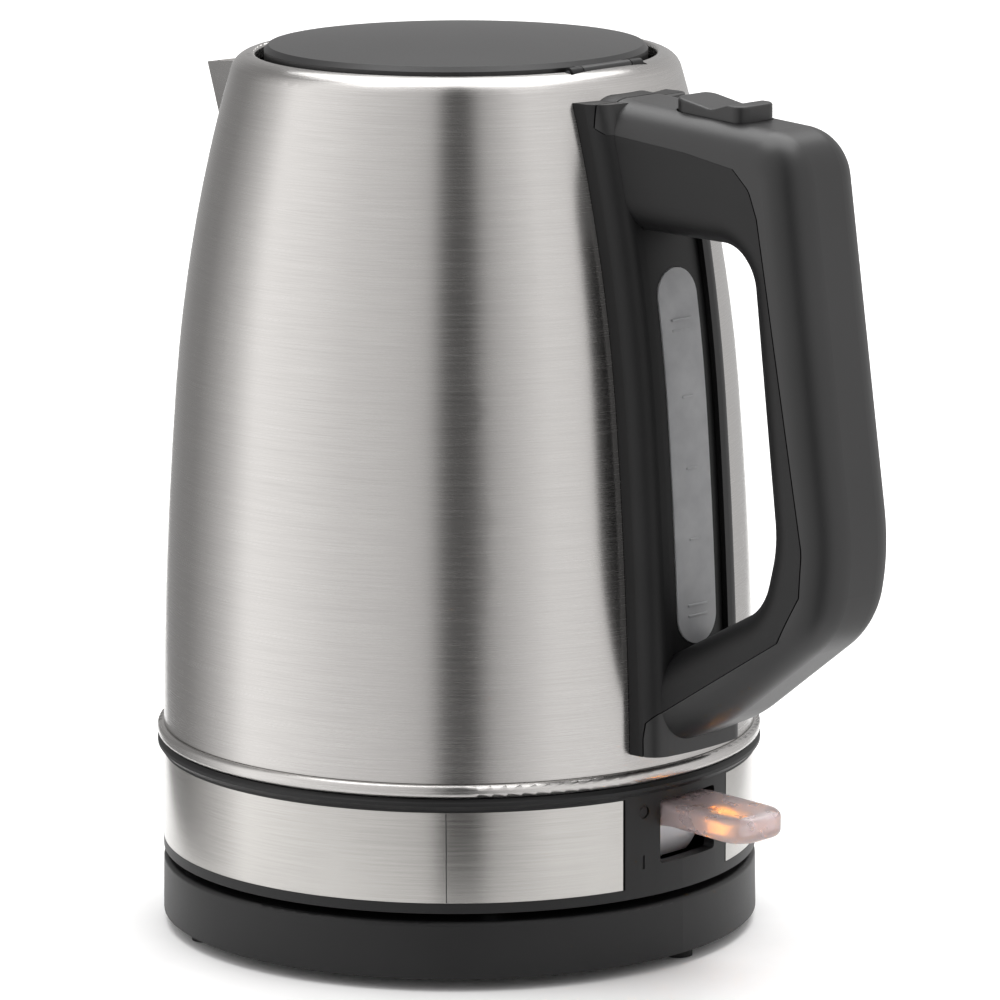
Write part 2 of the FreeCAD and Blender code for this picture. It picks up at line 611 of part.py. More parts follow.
def parting_outline():
    """The cover's side of the parting line, beyond the handle on every other side."""
    return [("60.5", "handle_top + 30"), ("60.5", "handle_top - 6.5"),
            ("63", "handle_top - 8"), ("86", "handle_top - 10.2"),
            ("handle_reach - 31", "handle_top - 12.8"), ("handle_reach - 26", "handle_top - 17.5"),
            ("handle_reach - 23.5", "handle_top - 24"), ("handle_reach - 9.2", "grip_low + 6"),
            ("handle_reach - 10", "grip_low - 5"), ("handle_reach - 17", "grip_low - 17"),
            ("79.5", "grip_low - 39.6"), ("77", "grip_low - 42"), ("76.4", "grip_low - 46"),
            ("76.8", "plate_bottom - 20"),
            ("handle_reach + 40", "plate_bottom - 20"), ("handle_reach + 40", "handle_top + 30")]


def across(edge):
    """Edges that run along Y."""
    box = edge.BoundBox
    return box.XLength < 0.01 and box.ZLength < 0.01 and box.YLength > 5


def near(x, z, slack=0.6):
    return lambda e: across(e) and abs(e.BoundBox.XMin - x) < slack and abs(e.BoundBox.ZMin - z) < slack


def build_handle():
    reach, top, low = size("handle_reach"), size("handle_top"), size("grip_low")
    arm, thick = size("arm_low"), size("grip_thick")
    width = size("handle_width")
    blank = side_slab("handle_blank", handle_outline("0"), "handle_width")
    blank = rounded("handle_bent", blank,
                    (13.0, near(reach - 14.5, top - 4.6)), (60.0, near(reach, low + 2)),
                    (24.0, near(reach - 4.5, low - 15)), (40.0, near(reach - 38, low - 41)))
    flat_side = width / 2

    def on_side(e):
        box = e.BoundBox
        return box.YLength < 0.01 and abs(abs(box.YMin) - flat_side) < 0.01
    soft = rounded("handle_soft", blank,
                   (size("handle_round"), lambda e: on_side(e) and e.BoundBox.XMax > 46))
    opening = side_slab("opening_blank", opening_outline("0"), "handle_width + 20")
    opening = rounded("opening_bent", opening, (11.0, near(reach - 28.6, arm - 1)),
                      (30.0, near(reach - thick, low + 6)),
                      (15.0, near(reach - thick - 4, low - 10)))
    # The opening's edges are rounded on an oversize blank, whose remainder is the opening's cutter.
    loop = cut("handle_loop", side_slab("loop_blank", handle_outline("-3"), "handle_width"), opening)

    doc.recompute()

    def inner_edge(e):
        middle = Part.Vertex(e.valueAt((e.FirstParameter + e.LastParameter) / 2))
        return on_side(e) and e.BoundBox.XMax > 60.5 and opening.Shape.distToShape(middle)[0] < 0.01
    loop = rounded("loop_soft", loop, (size("opening_round"), inner_edge))
    field = block("opening_field", "handle_reach + 40", "handle_width", "handle_top + 40", "20",
                  "-handle_width / 2", "0")
    loop = cut("handle_grip", soft, cut("opening_cutter", field, loop))
    # The plate follows the jug's wall and carries the gauge.
    slab = block("plate_slab", "60", "2 * plate_half", "handle_top - 1 - plate_bottom", "40",
                 "-plate_half", "plate_bottom")
    plate = common("plate_blank", slab, held("plate_form", jug_form(size("plate_stand"))))
    half = size("plate_half")

    def long_side(e):
        box = e.BoundBox
        return box.ZLength > 60 and abs(abs(box.YMin) - half) < 0.01 and box.XMax > 60

    def end_side(e):
        box = e.BoundBox
        return box.YLength > 20 and box.ZLength < 3 and box.XMax > 62
    plate = rounded("plate_soft", plate, (size("plate_round"), long_side))
    recess_zone = held("recess_zone", jug_form(size("recess_stand")))
    recess = cut("recess_cutter", block("recess_block", "60", "2 * recess_half",
                                        "arm_low + 4 - (gauge_low - 8)", "50", "-recess_half",
                                        "gauge_low - 8"), recess_zone)
    plate = cut("plate_recessed", plate, recess)
    whole = fuse("handle_whole", loop, plate)
    jug = held("handle_seat", jug_form(0.1))
    whole = cut("handle_seated", whole, jug)
    # Cavity: the same outline, one shell thickness in, narrower than the handle.
    skin = size("shell")
    room = side_slab("cavity_blank", handle_outline("shell"), "handle_width - 11")
    room = rounded("cavity_bent", room,
                   (11.0, near(reach - 14.5 - skin, top - 4.6 - skin)),
                   (57.0, near(reach - skin, low + 2)),
                   (22.0, near(reach - 4.5 - skin, low - 15)),
                   (38.0, near(reach - 38 - skin / 2, low - 41 + skin, 1.6)))
    room_open = side_slab("cavity_opening", opening_outline("shell"), "handle_width + 20")
    room = cut("cavity_loop", room, room_open,
               held("cavity_seat", jug_form(size("plate_stand") + 1.0)))
    gauge_room = obround("gauge_room", "gauge_half + 0.15", "gauge_low - 0.15", "gauge_high + 0.15")
    button_room = block("button_room", "button_long + 2 * loose_fit", "button_wide + 2 * loose_fit",
                        "30", "button_left - loose_fit", "-(button_wide / 2 + loose_fit)",
                        "handle_top - 12")
    button_room = rounded("button_room_soft", button_room,
                          (3.2, lambda e: e.BoundBox.ZLength > 29 and e.BoundBox.XLength < 0.01))
    slide_room = block("slide_room", "30", "slide_wide + 2 * wide_fit", "slide_thick + 2 * wide_fit",
                       "50", "-(slide_wide / 2 + wide_fit)", "slide_height - wide_fit")
    screw_rooms = []
    for spot, (y, z) in enumerate(HANDLE_SCREWS):
        screw_rooms.append(rod(f"handle_bore_{spot}", "screw_radius + 0.02", "7.6",
                               f"{screw_start(z) - 1.0}", y, z, "X"))
    hollow = cut("handle_hollow", whole, room, gauge_room, button_room, slide_room, *screw_rooms)
    outer_side = side_slab("cover_side", parting_outline(), "handle_width + 30")
    outer_side = rounded("cover_side_soft", outer_side,
                         (5.0, near(size("handle_reach") - 26, top - 17.5)),
                         (14.0, near(size("handle_reach") - 9.2, low + 6)))
    frame = cut("handle_frame_cut", hollow, outer_side)
    node(frame, "handle_frame")
    shrunk = side_slab("cover_side_gap", parting_outline(), "handle_width + 30")
    shrunk = rounded("cover_side_gap_soft", shrunk,
                     (5.0, near(size("handle_reach") - 26, top - 17.5)),
                     (14.0, near(size("handle_reach") - 9.2, low + 6)))
    bind(doc.getObject("cover_side_gap"), "Placement.Base.x", "parting_gap")
    node(common("handle_cover_cut", hollow, shrunk), "handle_cover")
    screws, seals = [], []
    inside = held("seal_zone_inside", jug_form(-size("wall") - 0.02))
    for spot, (y, z) in enumerate(HANDLE_SCREWS):
        start = screw_start(z)
        screws.append(fuse(f"handle_screw_{spot}",
                           rod(f"handle_screw_head_{spot}", "screw_head", "screw_head_high",
                               f"{start} - {HEAD_IN} - screw_head_high", y, z, "X"),
                           rod(f"handle_screw_shank_{spot}", "screw_radius", f"{HEAD_IN} + 6",
                               f"{start} - {HEAD_IN}", y, z, "X")))
        seals.append(cut(f"screw_seal_{spot}",
                         common(f"screw_seal_fit_{spot}",
                                rod(f"screw_seal_body_{spot}", "screw_head", "4",
                                    f"{start} - {HEAD_IN}", y, z, "X"), inside),
                         rod(f"screw_seal_bore_{spot}", "screw_radius + 0.02", "8",
                             f"{start - 5}", y, z, "X")))
    node(group("handle_screws_set", *screws), "handle_screws")
    node(group("screw_seals_set", *seals), "screw_seals")


def screw_start(z):
    """Where a handle screw leaves the wall's outside, allowing for the wall's roundness."""
    radius = radius_at(size(z))
    return math.sqrt(radius ** 2 - 9.0 ** 2)


# ---------------------------------------------------------------- water gauge
def build_gauge():
    base = obround("gauge_prism", "gauge_half", "gauge_low", "gauge_high")
    core = obround("gauge_core_prism", "gauge_half - gauge_skin", "gauge_low + gauge_skin",
                   "gauge_high - gauge_skin")
    front = held("gauge_front", jug_form(size("recess_stand") + 0.25))
    back = held("gauge_back", jug_form(size("seal_thick") + 0.05))
    hollow = held("gauge_hollow_zone", jug_form(size("recess_stand") + 0.25 - size("gauge_skin")))
    body = cut("gauge_cut", common("gauge_body", base, front), back,
               common("gauge_channel", core, hollow))
    node(body, "water_gauge")
    seal = cut("seal_cut", common("seal_body", obround("seal_prism", "gauge_half", "gauge_low",
                                                       "gauge_high"),
                                  held("seal_zone", jug_form(size("seal_thick")))),
               held("seal_back", jug_form(0.02)),
               obround("seal_core", "gauge_half - gauge_skin", "gauge_low + gauge_skin",
                       "gauge_high - gauge_skin"))
    node(seal, "gauge_seal")


# ---------------------------------------------------------------- lid
def build_lid():
    top = size("crease_height") + size("dome_rise")
    crease = size("crease_radius")
    # The dome is a shallow arc, so the cover is spun from its real section.
    def section(inset):
        peak = V(0, 0, top - inset)
        end_radius = crease if inset == 0 else size("lid_radius") - inset
        end = V(end_radius, 0, size("crease_height") - inset)
        half = V(end_radius * 0.52, 0, size("crease_height") + size("dome_rise") * 0.74 - inset)
        return Part.Arc(peak, half, end).toShape(), peak, end
    low = size("crease_height") - size("lid_depth")
    outer, outer_top, outer_end = section(0.0)
    inner, inner_top, inner_end = section(size("lid_skin"))
    skin = size("lid_skin")
    corner = V(size("lid_radius"), 0, size("crease_height") - 1.2)
    edges = [outer, inner]
    edges += line(outer_end, corner, V(size("lid_radius"), 0, low),
                  V(size("lid_radius") - skin, 0, low), inner_end)
    edges += line(inner_top, outer_top)
    cap = held("lid_cap", spun(edges))
    knuckle = fuse("lid_knuckle",
                   rod("knuckle_rod", "knuckle_round", "2 * knuckle_half", "hinge_x",
                       "-knuckle_half", "hinge_z", "Y"),
                   block("knuckle_web", "hinge_x - lid_radius + 2", "2 * knuckle_half", "2.4",
                         "lid_radius - 2", "-knuckle_half", "hinge_z - 1.2"))
    bore = rod("knuckle_bore", "hinge_pin + running_fit", "60", "hinge_x", "-30", "hinge_z", "Y")
    inside = held("lid_inside", spun(
        [inner] + line(inner_end, V(size("lid_radius") - skin, 0, low - 5), V(0, 0, low - 5),
                       inner_top)))
    knuckle = cut("lid_knuckle_trim", knuckle, inside)
    bosses, pilots = [], []
    floor = "(crease_height - lid_depth - liner_drop + 2.05)"
    for spot in range(3):
        angle = f"({60 + 120 * spot})"
        x, y = f"(liner_radius - 8) * cos({angle})", f"(liner_radius - 8) * sin({angle})"
        bosses.append(rod(f"lid_boss_{spot}", "3", f"crease_height + 0.2 - {floor}", x, y, floor))
        pilots.append(rod(f"lid_boss_bore_{spot}", "screw_radius - 0.28", "9", x, y, f"{floor} - 1"))
    node(cut("lid_cover_body", fuse("lid_cap_knuckle", cap, knuckle, *bosses), bore, *pilots),
         "lid_cover")
    # Liner: a dished plug under the cover, with the catch window at its back.
    liner = turned("liner_blank", [
        ("0", "crease_height - lid_depth - liner_drop"),
        ("liner_radius - 2", "crease_height - lid_depth - liner_drop"),
        ("liner_radius - 2", "crease_height - lid_depth - 1.6"),
        ("lid_radius - 0.2", "crease_height - lid_depth - 1.6"),
        ("lid_radius - 0.2", "crease_height - lid_depth"),
        ("liner_radius - 4", "crease_height - lid_depth"),
        ("liner_radius - 4", "crease_height - lid_depth - liner_drop + 2"),
        ("0", "crease_height - lid_depth - liner_drop + 2")])
    catch = block("catch_window", "12", "slide_wide + 2 * wide_fit", "slide_thick + 2 * wide_fit",
                  "liner_radius - 10", "-(slide_wide / 2 + wide_fit)", "slide_height - wide_fit")
    node(cut("lid_liner_body", liner, catch), "lid_liner")
    pin_half = "knuckle_half + ear_wide + 0.6"
    node(rod("lid_hinge_pin_rod", "hinge_pin", f"2 * ({pin_half})", "hinge_x", f"-({pin_half})",
             "hinge_z", "Y"), "lid_hinge_pin")
    # Bracket: two ears that rise through the rim's notch from a foot under the shoulder.
    ears = []
    for number, y in enumerate(("knuckle_half + 0.3", "-(knuckle_half + 0.3) - ear_wide")):
        ears.append(fuse(f"ear_{number}",
                         rod(f"ear_eye_{number}", "knuckle_round", "ear_wide", "hinge_x", y,
                             "hinge_z", "Y"),
                         block(f"ear_web_{number}", "2 * knuckle_round", "ear_wide",
                               "hinge_z - (rim_height - 14)", "hinge_x - knuckle_round", y,
                               "rim_height - 14")))
    foot = block("bracket_foot", "12", "2 * (knuckle_half + ear_wide + 0.3)", "2.6",
                 "hinge_x - knuckle_round", "-(knuckle_half + ear_wide + 0.3)",
                 "rim_height - 14")
    foot = common("bracket_foot_fit", foot, held("bracket_zone", jug_form(-size("wall") - 0.02)))
    snug = rod("ear_bore", "hinge_pin + 0.01", "60", "hinge_x", "-30", "hinge_z", "Y")
    node(cut("hinge_bracket_body", fuse("bracket_blank", foot, *ears), snug), "hinge_bracket")
    # Leaf spring on the bracket's foot, bearing up under the liner's flange to throw the lid open.
    foot_top = "rim_height - 14 + 2.6"
    under = "crease_height - lid_depth - 1.6"
    node(side_slab("lid_spring_leaf", [
        ("hinge_x + 5", foot_top), ("hinge_x + 5", f"{foot_top} + 0.5"),
        ("hinge_x - 0.6", f"{foot_top} + 0.5"), ("hinge_x - 2.6", f"{under} - 0.1"),
        ("hinge_x - 3.2", f"{under} - 0.1"), ("hinge_x - 1", foot_top)], "8"), "lid_spring")
    screws = []
    for spot in range(3):
        angle = f"({60 + 120 * spot})"
        x, y = f"(liner_radius - 8) * cos({angle})", f"(liner_radius - 8) * sin({angle})"
        screws.append(fuse(f"lid_screw_{spot}",
                           rod(f"lid_screw_head_{spot}", "screw_head", "1.4", x, y,
                               "crease_height - lid_depth - liner_drop - 1.4"),
                           rod(f"lid_screw_shank_{spot}", "screw_radius - 0.3", "9", x, y,
                               "crease_height - lid_depth - liner_drop")))
    node(group("lid_screws_set", *screws), "lid_screws")
    cutters = []
    for spot in range(3):
        angle = f"({60 + 120 * spot})"
        x, y = f"(liner_radius - 8) * cos({angle})", f"(liner_radius - 8) * sin({angle})"
        cutters.append(rod(f"lid_screw_bore_{spot}", "screw_radius - 0.28", "4", x, y,
                           "crease_height - lid_depth - liner_drop - 1"))
    node(cut("lid_liner_bored", NODES.pop("lid_liner"), *cutters), "lid_liner")


# ---------------------------------------------------------------- lid release
def coil(radius, wire, pitch, low, high, x, y):
    """A helical wire spring standing upright at x, y."""
    helix = Part.makeHelix(pitch, high - low - wire, radius)
    profile = Part.Wire(Part.makeCircle(wire / 2, V(radius, 0, 0), V(0, 1, 0)))
    spring = Part.Wire(helix).makePipeShell([profile], True, True)
    spring.translate(V(x, y, low + wire / 2))
    return spring


def build_release():
    # The thumb button: a low pad with a raised outer end, and a stem with a sloping foot.
    skin = "(handle_top - 2.4)"
    sink = f"{skin} - button_sink"
    stem_low = "(slide_height + slide_thick + 0.4)"
    pad = side_slab("button_blank", [
        ("button_left", sink), ("button_left + button_long", sink),
        ("button_left + button_long", f"{skin} + button_high - 0.4"),
        ("button_left + button_long - 4.5", f"{skin} + button_high - 0.3"),
        ("button_left + button_long - 9.5", f"{skin} + button_high - button_bump"),
        ("button_left", f"{skin} + button_high + 0.6")], "button_wide")
    left, long = size("button_left"), size("button_long")
    crest = size("handle_top") - 2.4 + size("button_high")

    def upright(e):
        box = e.BoundBox
        return box.XLength < 0.01 and box.YLength < 0.01 and box.ZLength > 5

    def top_edge(e):
        return e.BoundBox.ZMin > crest - size("button_bump") - 0.4
    pad = rounded("button_soft", pad,
                  (7.0, near(left + long - 9.5, crest - size("button_bump"), 0.1)),
                  (3.0, near(left + long - 4.5, crest - 0.3, 0.1)), (3.2, upright), (0.7, top_edge))
    stem = side_slab("button_stem", [
        ("button_left + 6", sink), ("button_left + 6", stem_low),
        ("button_left + 9.4", stem_low), ("button_left + 12.4", f"{stem_low} + 3"),
        ("button_left + 12.4", sink)], "stem_wide")
    node(fuse("lid_button_body", pad, stem), "lid_button")
    # The slide: a flat bar whose slot ends in a ramp that the stem's foot drives outwards.
    tip = "(liner_radius - 2 + 1.2)"
    bar = block("slide_bar", f"button_left + 12.2 - {tip}", "slide_wide", "slide_thick", tip,
                "-slide_wide / 2", "slide_height")
    slot = side_slab("slide_slot", [
        ("button_left + 2.4", "slide_height - 1"),
        ("button_left + 9.6 - slide_thick - 1.4", "slide_height - 1"),
        ("button_left + 9.6 + 0.6", "slide_height + slide_thick + 1"),
        ("button_left + 2.4", "slide_height + slide_thick + 1")], "stem_wide + 2 * loose_fit")
    node(cut("release_slide_body", bar, slot), "release_slide")
    wire = size("coil_wire")
    node(held("button_coil", coil(size("coil_radius"), wire, 2.4, size("arm_low") + 2.4 + 0.1,
                                  size("handle_top") - 2.4 - size("button_sink") - 0.05,
                                  size("button_left") + 18.4, 0)), "button_spring")


# ---------------------------------------------------------------- rocker switch
def build_switch():
    middle = "(window_left + window_right) / 2"
    left = f"{middle} - lever_wide / 2"
    top, low = "lever_top", "lever_top - lever_thick"
    arm = side_slab("lever_blank", [
        ("lever_pivot_x - 9", "lever_pivot_z + 2.4"), ("lever_pivot_x - 9", "lever_pivot_z - 2.4"),
        ("lever_pivot_x - 4", "lever_pivot_z - 3.4"), ("lever_pivot_x + 8", "lever_pivot_z - 2.6"),
        ("collar_radius - 2", f"{low} + 0.9"), ("lever_tip", f"{low} - 0.7"),
        ("lever_tip", f"{top} - 0.9"), ("collar_radius", top), ("lever_pivot_x + 8", top),
        ("lever_pivot_x", "lever_pivot_z + 3.6")], "lever_wide", middle)
    tip = size("lever_tip")

    def tip_corner(e):
        box = e.BoundBox
        return box.XLength < 0.01 and box.YLength < 0.01 and abs(box.XMin - tip) < 0.01

    def paddle_edge(e):
        box = e.BoundBox
        return box.XMax > size("collar_radius") + 8 and box.XLength > 3
    arm = rounded("lever_soft", arm, (7.0, tip_corner), (1.6, paddle_edge))
    bore = rod("lever_bore", "lever_pin + running_fit", "60", "lever_pivot_x", "-30",
               "lever_pivot_z", "Y")
    room = block("lever_room", "lever_tip - 3.4 - (lever_pivot_x + 12)", "lever_wide - 7",
                 "lever_thick - 2.4", "lever_pivot_x + 12", f"{left} + 3.5", f"{low} + 1.2")
    node(cut("switch_lever_body", arm, bore, room), "switch_lever")
    lamp_z = f"{low} + lever_thick / 2"
    start = "lever_tip - 7 - lamp_long"
    glass = cut("lamp_glass", rod("lamp_outer", "lamp_radius", "lamp_long", start, middle, lamp_z,
                                  "X"),
                rod("lamp_inner", "lamp_radius - 0.5", "lamp_long - 2", f"{start} + 1", middle,
                    lamp_z, "X"))
    node(glass, "indicator_lamp")
    wires = [rod(f"electrode_{n}", "0.35", "lamp_long - 3.5", f"{start} + 1", f"{middle} {y}",
                 lamp_z, "X") for n, y in enumerate(("- 0.7", "+ 0.7"))]
    node(group("lamp_electrodes_set", *wires), "lamp_electrodes")
    # The shield is an arc about the lever's pin, so it slides past the window's inside.
    sweep = [("lever_pivot_x + 2", "lever_pivot_z - 2.55"),
             ("lever_pivot_x + 30", "lever_pivot_z - 2.55"),
             ("lever_pivot_x + 30", "lever_pivot_z - 26")]
    arc = cut("shield_ring", rod("shield_outer", "shield_radius", "lever_wide + 1.2",
                                 "lever_pivot_x", f"{left} - 0.6", "lever_pivot_z", "Y"),
              rod("shield_inner", "shield_radius - shield_thick", "lever_wide + 20",
                  "lever_pivot_x", f"{left} - 10", "lever_pivot_z", "Y"))
    node(common("lever_shield_body", arc, side_slab("shield_sweep", sweep, "60")), "lever_shield")
    pin_low = f"{left} - 3.4"
    node(rod("lever_pin_rod", "lever_pin", "lever_wide + 6.8", "lever_pivot_x", pin_low,
             "lever_pivot_z", "Y"), "lever_pin")
    floor = "collar_bottom + collar_floor"
    ears = []
    for number, y in enumerate((f"{left} - 3.2", f"{left} + lever_wide + 0.8")):
        ears.append(fuse(f"switch_ear_{number}",
                         block(f"switch_ear_web_{number}", "9", "2.4",
                               f"lever_pivot_z - ({floor})", "lever_pivot_x - 4.5", y, floor),
                         rod(f"switch_ear_eye_{number}", "4.5", "2.4", "lever_pivot_x", y,
                             "lever_pivot_z", "Y")))
    foot = block("switch_foot", "18", "lever_wide + 6.4", "1.6", "lever_pivot_x - 13.5",
                 f"{left} - 3.2", floor)
    snug = rod("switch_ear_bore", "lever_pin + 0.01", "80", "lever_pivot_x", "-40",
               "lever_pivot_z", "Y")
    node(cut("lever_bracket_body", fuse("lever_bracket_blank", foot, *ears), snug),
         "lever_bracket")
    low_z = size("collar_bottom") + size("collar_floor") + 1.6 + 0.05
    y = (size("window_left") + size("window_right")) / 2
    node(held("lever_coil", coil(2.0, 0.5, 2.2, low_z, size("lever_pivot_z") - 3.45,
                                 size("lever_pivot_x") - 7.0, y)), "lever_spring")


# ---------------------------------------------------------------- heating and control
def build_heating():
    under = "floor_height - floor_thick"
    node(turned("heat_disc", [
        ("0", f"{under} - plate_disc_thick"), ("plate_disc", f"{under} - plate_disc_thick"),
        ("plate_disc", under), ("0", under)]), "heat_spreader_disc")
    drop = f"{under} - plate_disc_thick - element_tube"
    hoop = doc.addObject("Part::Torus", "element_hoop")
    bind(hoop, "Radius1", "element_circle")
    bind(hoop, "Radius2", "element_tube")
    hoop.Angle3 = 320
    hoop.Placement = FreeCAD.Placement(V(0, 0, 0), FreeCAD.Rotation(V(0, 0, 1), 200))
    bind(hoop, "Placement.Base.z", f"{drop} - 0.02")
    tails = []
    for number, angle in enumerate(("(200 + 3)", "(160 - 3)")):
        tails.append(rod(f"element_tail_{number}", "1.2", "8", f"element_circle * cos({angle})",
                         f"element_circle * sin({angle})", f"{drop} - 8"))
    node(fuse("heating_element_body", hoop, *tails), "heating_element")
    pipe_hole = rod("disc_pipe_hole", "pipe_radius + 0.5", "20", "pipe_x", "pipe_y", "45")
    node(cut("heat_disc_cut", NODES.pop("heat_spreader_disc"), pipe_hole), "heat_spreader")
    node(cut("steam_pipe_body",
             rod("pipe_outer", "pipe_radius", "pipe_top - control_high", "pipe_x", "pipe_y",
                 "control_high"),
             rod("pipe_inner", "pipe_radius - 0.8", "pipe_top", "pipe_x", "pipe_y", "0")),
         "steam_pipe")
    node(block("sensor_body", "13", "15", "control_high - 0.1 - 27", "pipe_x - 6.5", "pipe_y - 7.5",
               "27"), "steam_switch")
    socket = turned("socket_body", [
        ("pillar_radius + wide_fit", "control_low"), ("control_radius", "control_low"),
        ("control_radius", "control_high"), ("0", "control_high"), ("0", "pillar_top + 1.4"),
        ("pillar_radius + wide_fit", "pillar_top + 1.4")])
    node(rounded("socket_soft", socket, (1.5, ring_at(size("control_radius"), size("control_low")))),
         "jug_socket")
    blades = [rod("centre_blade", "1.6", "pillar_top + 1.4 - (pillar_top - 8)", "0", "0",
                  "pillar_top - 8")]
    for number, (inner, outer) in enumerate((("5.0", "5.7"), ("9.8", "10.6"))):
        blades.append(turned(f"ring_blade_{number}", [
            (inner, "pillar_top - 8"), (outer, "pillar_top - 8"), (outer, "pillar_top + 1.4"),
            (inner, "pillar_top + 1.4")]))
    node(group("socket_contacts_set", *blades), "socket_contacts")
    studs = []
    for spot in range(3):
        angle = f"({30 + 120 * spot})"
        studs.append(rod(f"stud_{spot}", "2", f"{under} - plate_disc_thick - control_high",
                         f"17 * cos({angle})", f"17 * sin({angle})", "control_high"))
    node(group("control_studs_set", *studs), "control_studs")


def write_parts():
    doc.recompute()
    for thing in doc.Objects:
        if "Invalid" in thing.State or "Error" in thing.State:
            raise RuntimeError(f"{thing.Name} failed: {thing.State}")
    os.makedirs("parts", exist_ok=True)
    for label, thing in NODES.items():
        shape = thing.Shape
        if shape.isNull() or not shape.isValid() or not shape.Solids:
            raise RuntimeError(f"{label} has no valid solid")
        shape.exportStep(f"parts/{label}.step")


build_base()
build_base_electrics()
build_skirt()
build_jug()
build_spout()
build_handle()
build_gauge()
build_lid()
build_release()
build_switch()
build_heating()
write_parts()
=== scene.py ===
"""Looks of the cordless steel kettle: finishes, small fittings, floor, lights and camera. Metres."""
import json
import math

import bmesh
import bpy
from mathutils import Matrix, Vector


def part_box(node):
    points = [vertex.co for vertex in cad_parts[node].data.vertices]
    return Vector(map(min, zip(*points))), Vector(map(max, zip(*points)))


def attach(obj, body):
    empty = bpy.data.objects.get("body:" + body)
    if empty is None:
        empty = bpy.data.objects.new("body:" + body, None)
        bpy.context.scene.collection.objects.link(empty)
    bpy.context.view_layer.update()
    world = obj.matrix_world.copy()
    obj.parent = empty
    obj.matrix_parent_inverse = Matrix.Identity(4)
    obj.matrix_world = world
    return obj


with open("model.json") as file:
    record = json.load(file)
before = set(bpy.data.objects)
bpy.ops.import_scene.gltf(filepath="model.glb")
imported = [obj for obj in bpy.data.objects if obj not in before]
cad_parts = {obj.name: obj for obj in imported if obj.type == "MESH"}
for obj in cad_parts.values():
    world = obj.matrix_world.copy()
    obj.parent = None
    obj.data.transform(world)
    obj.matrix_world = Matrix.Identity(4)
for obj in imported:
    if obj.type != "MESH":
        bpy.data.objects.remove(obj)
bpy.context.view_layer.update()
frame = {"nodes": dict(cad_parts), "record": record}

NODES = frame["nodes"]
MM = 0.001
# The side the camera stands on, in degrees from -Y towards +X. Board and tent are turned with it.
FRONT = 43.0


# ---------------------------------------------------------------- camera
def aim_camera():
    """A long lens, a little above the lid, seen from the handle's side."""
    around, down, right, roll = (math.radians(a) for a in (FRONT, 11.267, 0.389, 0.187))
    away, height = 1.5484, 0.4149
    ahead = Vector((-math.sin(around), math.cos(around), 0.0))
    side = Vector((math.cos(around), math.sin(around), 0.0))
    up = Vector((0.0, 0.0, 1.0))
    ahead, side = (ahead * math.cos(right) + side * math.sin(right),
                   side * math.cos(right) - ahead * math.sin(right))
    ahead, up = (ahead * math.cos(down) - up * math.sin(down),
                 ahead * math.sin(down) + up * math.cos(down))
    side, up = side * math.cos(roll) - up * math.sin(roll), side * math.sin(roll) + up * math.cos(roll)
    lens = bpy.data.cameras.new("camera")
    lens.lens = 226.7
    lens.sensor_width = 36.0
    lens.clip_end = 60.0
    camera = bpy.data.objects.new("camera", lens)
    bpy.context.scene.collection.objects.link(camera)
    turn = Matrix((side, up, -ahead)).transposed().to_4x4()
    spot = Vector((math.sin(around) * away, -math.cos(around) * away, height))
    camera.matrix_world = Matrix.Translation(spot) @ turn
    bpy.context.scene.camera = camera


# ---------------------------------------------------------------- materials
def linear(code):
    """An sRGB hex colour as linear RGBA."""
    parts = [int(code[i:i + 2], 16) / 255 for i in (1, 3, 5)]
    return tuple(c / 12.92 if c <= 0.04045 else ((c + 0.055) / 1.055) ** 2.4 for c in parts) + (1.0,)


def add(tree, kind, settings=None, links=None):
    """One node with its settings, by attribute, by input or as a ramp's stops, and its incoming links."""
    new = tree.nodes.new(kind)
    for name, value in (settings or {}).items():
        if name == "stops":
            band = new.color_ramp.elements
            while len(band) < len(value):
                band.new(0.5)
            for element, (position, colour) in zip(band, value):
                element.position = position
                element.color = colour
        elif name in new.inputs:
            new.inputs[name].default_value = value
        else:
            setattr(new, name, value)
    for name, (source, output) in (links or {}).items():
        tree.links.new(source.outputs[output], new.inputs[name])
    return new


def start(name):
    """A new material with an empty tree."""
    material = bpy.data.materials.new(name)
    material.use_nodes = True
    tree = material.node_tree
    tree.nodes.clear()
    return material, tree


def brushed(name, dark, light, grain, along, rough, lean):
    """Sheet steel brushed round the jug: fine level scratches that stretch each highlight upright."""
    material, tree = start(name)
    place = add(tree, "ShaderNodeTexCoord")
    stretch = add(tree, "ShaderNodeMapping", {"Scale": (1 / along, 1 / along, 1 / grain)},
                  {"Vector": (place, "Object")})
    scratches = add(tree, "ShaderNodeTexNoise", {"Scale": 1.0, "Detail": 5.0, "Roughness": 0.7},
                    {"Vector": (stretch, "Vector")})
    tone = add(tree, "ShaderNodeValToRGB", {"stops": [(0.3, linear(dark)), (0.7, linear(light))]},
               {"Fac": (scratches, "Fac")})
    polish = add(tree, "ShaderNodeMapRange", {"From Min": 0.3, "From Max": 0.7, "To Min": rough - 0.03,
                                              "To Max": rough + 0.04}, {"Value": (scratches, "Fac")})
    relief = add(tree, "ShaderNodeBump", {"Strength": 0.12, "Distance": 0.01 * MM},
                 {"Height": (scratches, "Fac")})
    round_jug = add(tree, "ShaderNodeTangent", {"direction_type": "RADIAL", "axis": "Z"})
    skin = add(tree, "ShaderNodeBsdfPrincipled",
               {"Metallic": 1.0, "Anisotropic": lean, "Anisotropic Rotation": 0.25},
               {"Base Color": (tone, "Color"), "Roughness": (polish, "Result"),
                "Normal": (relief, "Normal"), "Tangent": (round_jug, "Tangent")})
    add(tree, "ShaderNodeOutputMaterial", links={"Surface": (skin, "BSDF")})
    return material


